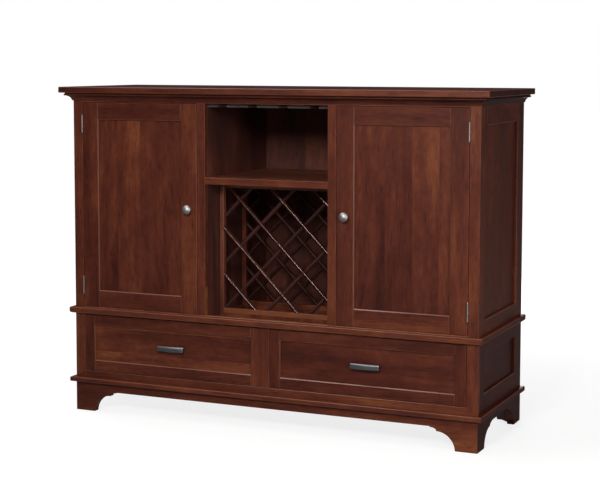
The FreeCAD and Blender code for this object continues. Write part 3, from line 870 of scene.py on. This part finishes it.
# ball tips on the hinge pins
tipSet = {
    "sides": 20,
    "start": (0.0021, 0.0006),
    "rings": [(0.0029, 0.0006), (0.0033, 0.0008), (0.0031, 0.0009), (0.0022, 0.0009), (0.0009, 0.0004)],
    "smooth": 50,
    "x": 0.7496,
    "y": -0.2459,
    "ends": [(0.4468, -1), (0.5088, 1), (1.0512, -1), (1.1132, 1)],
}
tip = turnedFitting("hinge_tip", tipSet["sides"], tipSet["start"], tipSet["rings"])
smoothOver(tip, tipSet["smooth"])
spots = []
for side in (-1, 1):
    spots += [((side * tipSet["x"], tipSet["y"], z), (0, 0, way), 1, 1) for z, way in tipSet["ends"]]
setOut(tip, "hinge_tips", "carcass", nickel, spots)
bpy.data.objects.remove(tip)

# screws and bolts: one pan head with a cross recess
screwSet = {
    "sides": 24,
    "start": (0.0042, 0.0006),
    "rings": [(0.0040, 0.0005), (0.0033, 0.0005), (0.0022, 0.0003)],
    "cross": (0.0042, 0.0010),
    "sunk": 0.0011,
    "smooth": 35,
}
head = turnedFitting("screw_head", screwSet["sides"], screwSet["start"], screwSet["rings"])
headTop = screwSet["start"][1] + sum(rise for wider, rise in screwSet["rings"])
cutCross(head, screwSet["cross"], screwSet["sunk"], headTop)
smoothOver(head, screwSet["smooth"])

# on the hinge leaves they are small and lie nearly flush, because two leaves close on each other
hingeScrews = {
    "y": -0.232,
    "levels": (0.4778, 1.0822),
    "apart": (-0.022, 0.0, 0.022),
    "caseFace": 0.74975,
    "doorFace": 0.74945,
    "wide": 0.62,
    "tall": 0.06,
}
heights = [level + apart for level in hingeScrews["levels"] for apart in hingeScrews["apart"]]


def leafSpots(side, face, way):
    across = side * hingeScrews[face]
    size = hingeScrews["wide"], hingeScrews["tall"]
    return [((across, hingeScrews["y"], z), (side * way, 0, 0), *size) for z in heights]


spots = leafSpots(-1, "caseFace", -1) + leafSpots(1, "caseFace", -1)
setOut(head, "case_leaf_screws", "carcass", nickel, spots)

# bolts that hold the knobs and pulls from inside
knobBolt = {"x": 0.3053, "y": -0.222, "z": 0.780}
pullBolts = {"x": 0.38175, "apart": (-0.0485, 0.0485), "y": -0.210, "z": 0.2615}
for side, word in ((-1, "left"), (1, "right")):
    spots = leafSpots(side, "doorFace", 1)
    setOut(head, word + "_leaf_screws", word + "_door", nickel, spots)
    spots = [((side * knobBolt["x"], knobBolt["y"], knobBolt["z"]), (0, 1, 0), 1, 1)]
    setOut(head, word + "_knob_bolt", word + "_door", zinc, spots)
    places = [(side * pullBolts["x"] + apart, pullBolts["y"], pullBolts["z"]) for apart in pullBolts["apart"]]
    spots = [(place, (0, 1, 0), 1, 1) for place in places]
    setOut(head, word + "_pull_bolts", word + "_drawer", zinc, spots)

# screws that hold the backs, sunk to a low head
backScrews = {
    "y": 0.282,
    "upperX": [-0.762 + 0.254 * step for step in range(7)],
    "upperZ": (0.383, 1.186),
    "sideX": 0.7685,
    "sideZ": (0.55, 0.785, 1.02),
    "baseX": [-0.762 + 0.381 * step for step in range(5)],
    "baseZ": (0.131, 0.358),
    "wide": 0.9,
    "tall": 0.30,
}
marks = [(x, z) for x in backScrews["upperX"] for z in backScrews["upperZ"]]
marks += [(side * backScrews["sideX"], z) for side in (-1, 1) for z in backScrews["sideZ"]]
marks += [(x, z) for x in backScrews["baseX"] for z in backScrews["baseZ"]]
spots = [((x, backScrews["y"], z), (0, 1, 0), backScrews["wide"], backScrews["tall"]) for x, z in marks]
setOut(head, "back_screws", "carcass", zinc, spots)
bpy.data.objects.remove(head)

# steel pole plates in the catches, which the strikes meet
poleSet = {
    "size": (0.034, 0.0026, 0.0007),
    "bevel": 0.0002,
    "segments": 2,
    "x": 0.3053,
    "y": -0.22035,
    "levels": (1.1510, 1.1575),
}
bpy.ops.object.select_all(action="DESELECT")
bpy.ops.mesh.primitive_cube_add(size=1, location=(0, 0, 0))
pole = bpy.context.object
bpy.ops.object.mode_set(mode="EDIT")
bpy.ops.transform.resize(value=poleSet["size"], center_override=(0, 0, 0))
bpy.ops.mesh.select_all(action="SELECT")
bpy.ops.mesh.bevel(offset=poleSet["bevel"], segments=poleSet["segments"], affect="EDGES")
bpy.ops.object.mode_set(mode="OBJECT")
spots = []
for side in (-1, 1):
    spots += [((side * poleSet["x"], poleSet["y"], z), (0, -1, 0), 1, 1) for z in poleSet["levels"]]
setOut(pole, "catch_poles", "carcass", zinc, spots)
bpy.data.objects.remove(pole)
print("fittings set out")

# camera: the photograph's place and angle, for a 600 by 500 image
cameraSet = {
    "place": (2.2344, -4.9681, 1.3161),
    "yaw": 23.951,
    "pitch": 4.965,
    "roll": 0.077,
    "focalPixels": 1487.8,
    "imageWidth": 600.0,
    "centreRow": 190.0,
    "middleRow": 250.0,
    "sensor": 36.0,
    "reach": 100.0,
}
lens = bpy.data.cameras.new("camera")
lens.sensor_width = cameraSet["sensor"]
lens.lens = cameraSet["focalPixels"] / cameraSet["imageWidth"] * lens.sensor_width
lens.shift_y = (cameraSet["centreRow"] - cameraSet["middleRow"]) / cameraSet["imageWidth"]
lens.clip_end = cameraSet["reach"]
camera = bpy.data.objects.new("camera", lens)
bpy.context.scene.collection.objects.link(camera)
turn = Matrix.Rotation(math.radians(cameraSet["yaw"]), 4, "Z")
turn = turn @ Matrix.Rotation(math.radians(90 - cameraSet["pitch"]), 4, "X")
turn = turn @ Matrix.Rotation(math.radians(cameraSet["roll"]), 4, "Z")
camera.matrix_world = Matrix.Translation(cameraSet["place"]) @ turn
bpy.context.scene.camera = camera
print("camera set")

# floor: a plain pale sheet that keeps the shadow, white to the camera further out
floorSet = {
    "size": 60.0,
    "bounce": (0.26, 0.255, 0.25, 1.0),
    "roughness": 0.9,
    "near": (0.80, 0.80, 0.80, 1.0),
    "far": (1.0, 1.0, 1.0, 1.0),
    "whiten": (1.0, 3.2),
    "behind": (0.3, 2.5),
    "mirrored": 0.05,  # how bright the floor behind the cabinet is in its gloss
    "unseen": (0.0, 0.0, 0.0, 1.0),
}
bpy.ops.object.select_all(action="DESELECT")
bpy.ops.mesh.primitive_plane_add(size=floorSet["size"], location=(0, 0, 0))
floor = bpy.context.object
floor.name = "floor"
kit = newFinish("pale_floor")
x, y, z = kit.spot()
outward = kit.fade(kit.math("SQRT", x * x + y * y), floorSet["whiten"])
seen, mirrored = kit.rays()
mirrored = mirrored * kit.fade(y, floorSet["behind"]) * floorSet["mirrored"]
glow = kit.blend(outward, floorSet["near"], floorSet["far"])
floorShade = {
    "Base Color": floorSet["bounce"],
    "Roughness": floorSet["roughness"],
    "Emission Color": kit.blend(kit.math("MINIMUM", seen + mirrored, 1.0), floorSet["unseen"], glow),
    "Emission Strength": 1.0,
}
floor.data.materials.append(kit.close(floorShade))

# soft studio light: a high key near the front, a tall one out to the right, a narrow strip, a wide one overhead,
# and two low ones for the left side and the back
lamps = {
    "key": {"place": (0.70, -3.6, 2.3), "aim": (0.0, -0.24, 0.7), "size": (0.75, 0.75), "power": 89.0},
    "side": {"place": (3.0, -1.75, 1.05), "aim": (0.4, -0.1, 0.65), "size": (0.9, 2.0), "power": 36.0},
    "strip": {"place": (2.6, -3.3, 1.1), "aim": (0.0, -0.24, 0.7), "size": (0.35, 1.8), "power": 8.0},
    "overhead": {"place": (-1.2, -0.75, 3.5), "aim": (0.0, -0.24, 0.5), "size": (2.4, 1.0), "power": 38.0},
    "left": {"place": (-2.9, 0.7, 0.65), "aim": (-0.8, 0.0, 0.65), "size": (0.9, 0.9), "power": 20.0},
    "rear": {"place": (-0.9, 3.6, 0.65), "aim": (0.0, 0.28, 0.65), "size": (2.0, 0.9), "power": 34.0},
}
for name, lamp in lamps.items():
    light = bpy.data.lights.new(name, "AREA")
    light.shape = "RECTANGLE"
    light.size, light.size_y = lamp["size"]
    light.energy = lamp["power"]
    holder = bpy.data.objects.new(name, light)
    bpy.context.scene.collection.objects.link(holder)
    aim = Vector(lamp["aim"]) - Vector(lamp["place"])
    turn = aim.to_track_quat("-Z", "Y").to_matrix().to_4x4()
    holder.matrix_world = Matrix.Translation(lamp["place"]) @ turn

# world: white to the camera, a dim room to the light, and to lacquer and metal a room that brightens overhead
# and has a dim backdrop
roomSet = {
    "white": (1.0, 1.0, 1.0, 1.0),
    "room": (0.08, 0.08, 0.083, 1.0),
    "low": (0.14, 0.14, 0.147, 1.0),
    "high": (0.75, 0.75, 0.77, 1.0),
    "backdrop": (0.065, 0.065, 0.068, 1.0),
    "backdropGain": 2,
}
world = bpy.data.worlds.new("studio")
bpy.context.scene.world = world
kit = Finish(world)
seen, mirrored = kit.rays()
x, y, z = kit.parts(kit.add("ShaderNodeTexCoord", {}, {}, "Generated"))
studio = kit.blend(kit.math("MAXIMUM", z, 0.0), roomSet["low"], roomSet["high"])
behind = kit.math("MINIMUM", kit.math("MAXIMUM", y * roomSet["backdropGain"], 0.0), 1.0)
studio = kit.blend(behind, studio, roomSet["backdrop"])
around = kit.blend(kit.math("MINIMUM", mirrored, 1.0), roomSet["room"], studio)
sky = kit.add("ShaderNodeBackground", {}, {"Color": kit.blend(seen, around, roomSet["white"]), "Strength": 1.0})
kit.add("ShaderNodeOutputWorld", {}, {"Surface": sky})
bpy.context.scene.view_settings.view_transform = "Standard"
print("stage and light set")
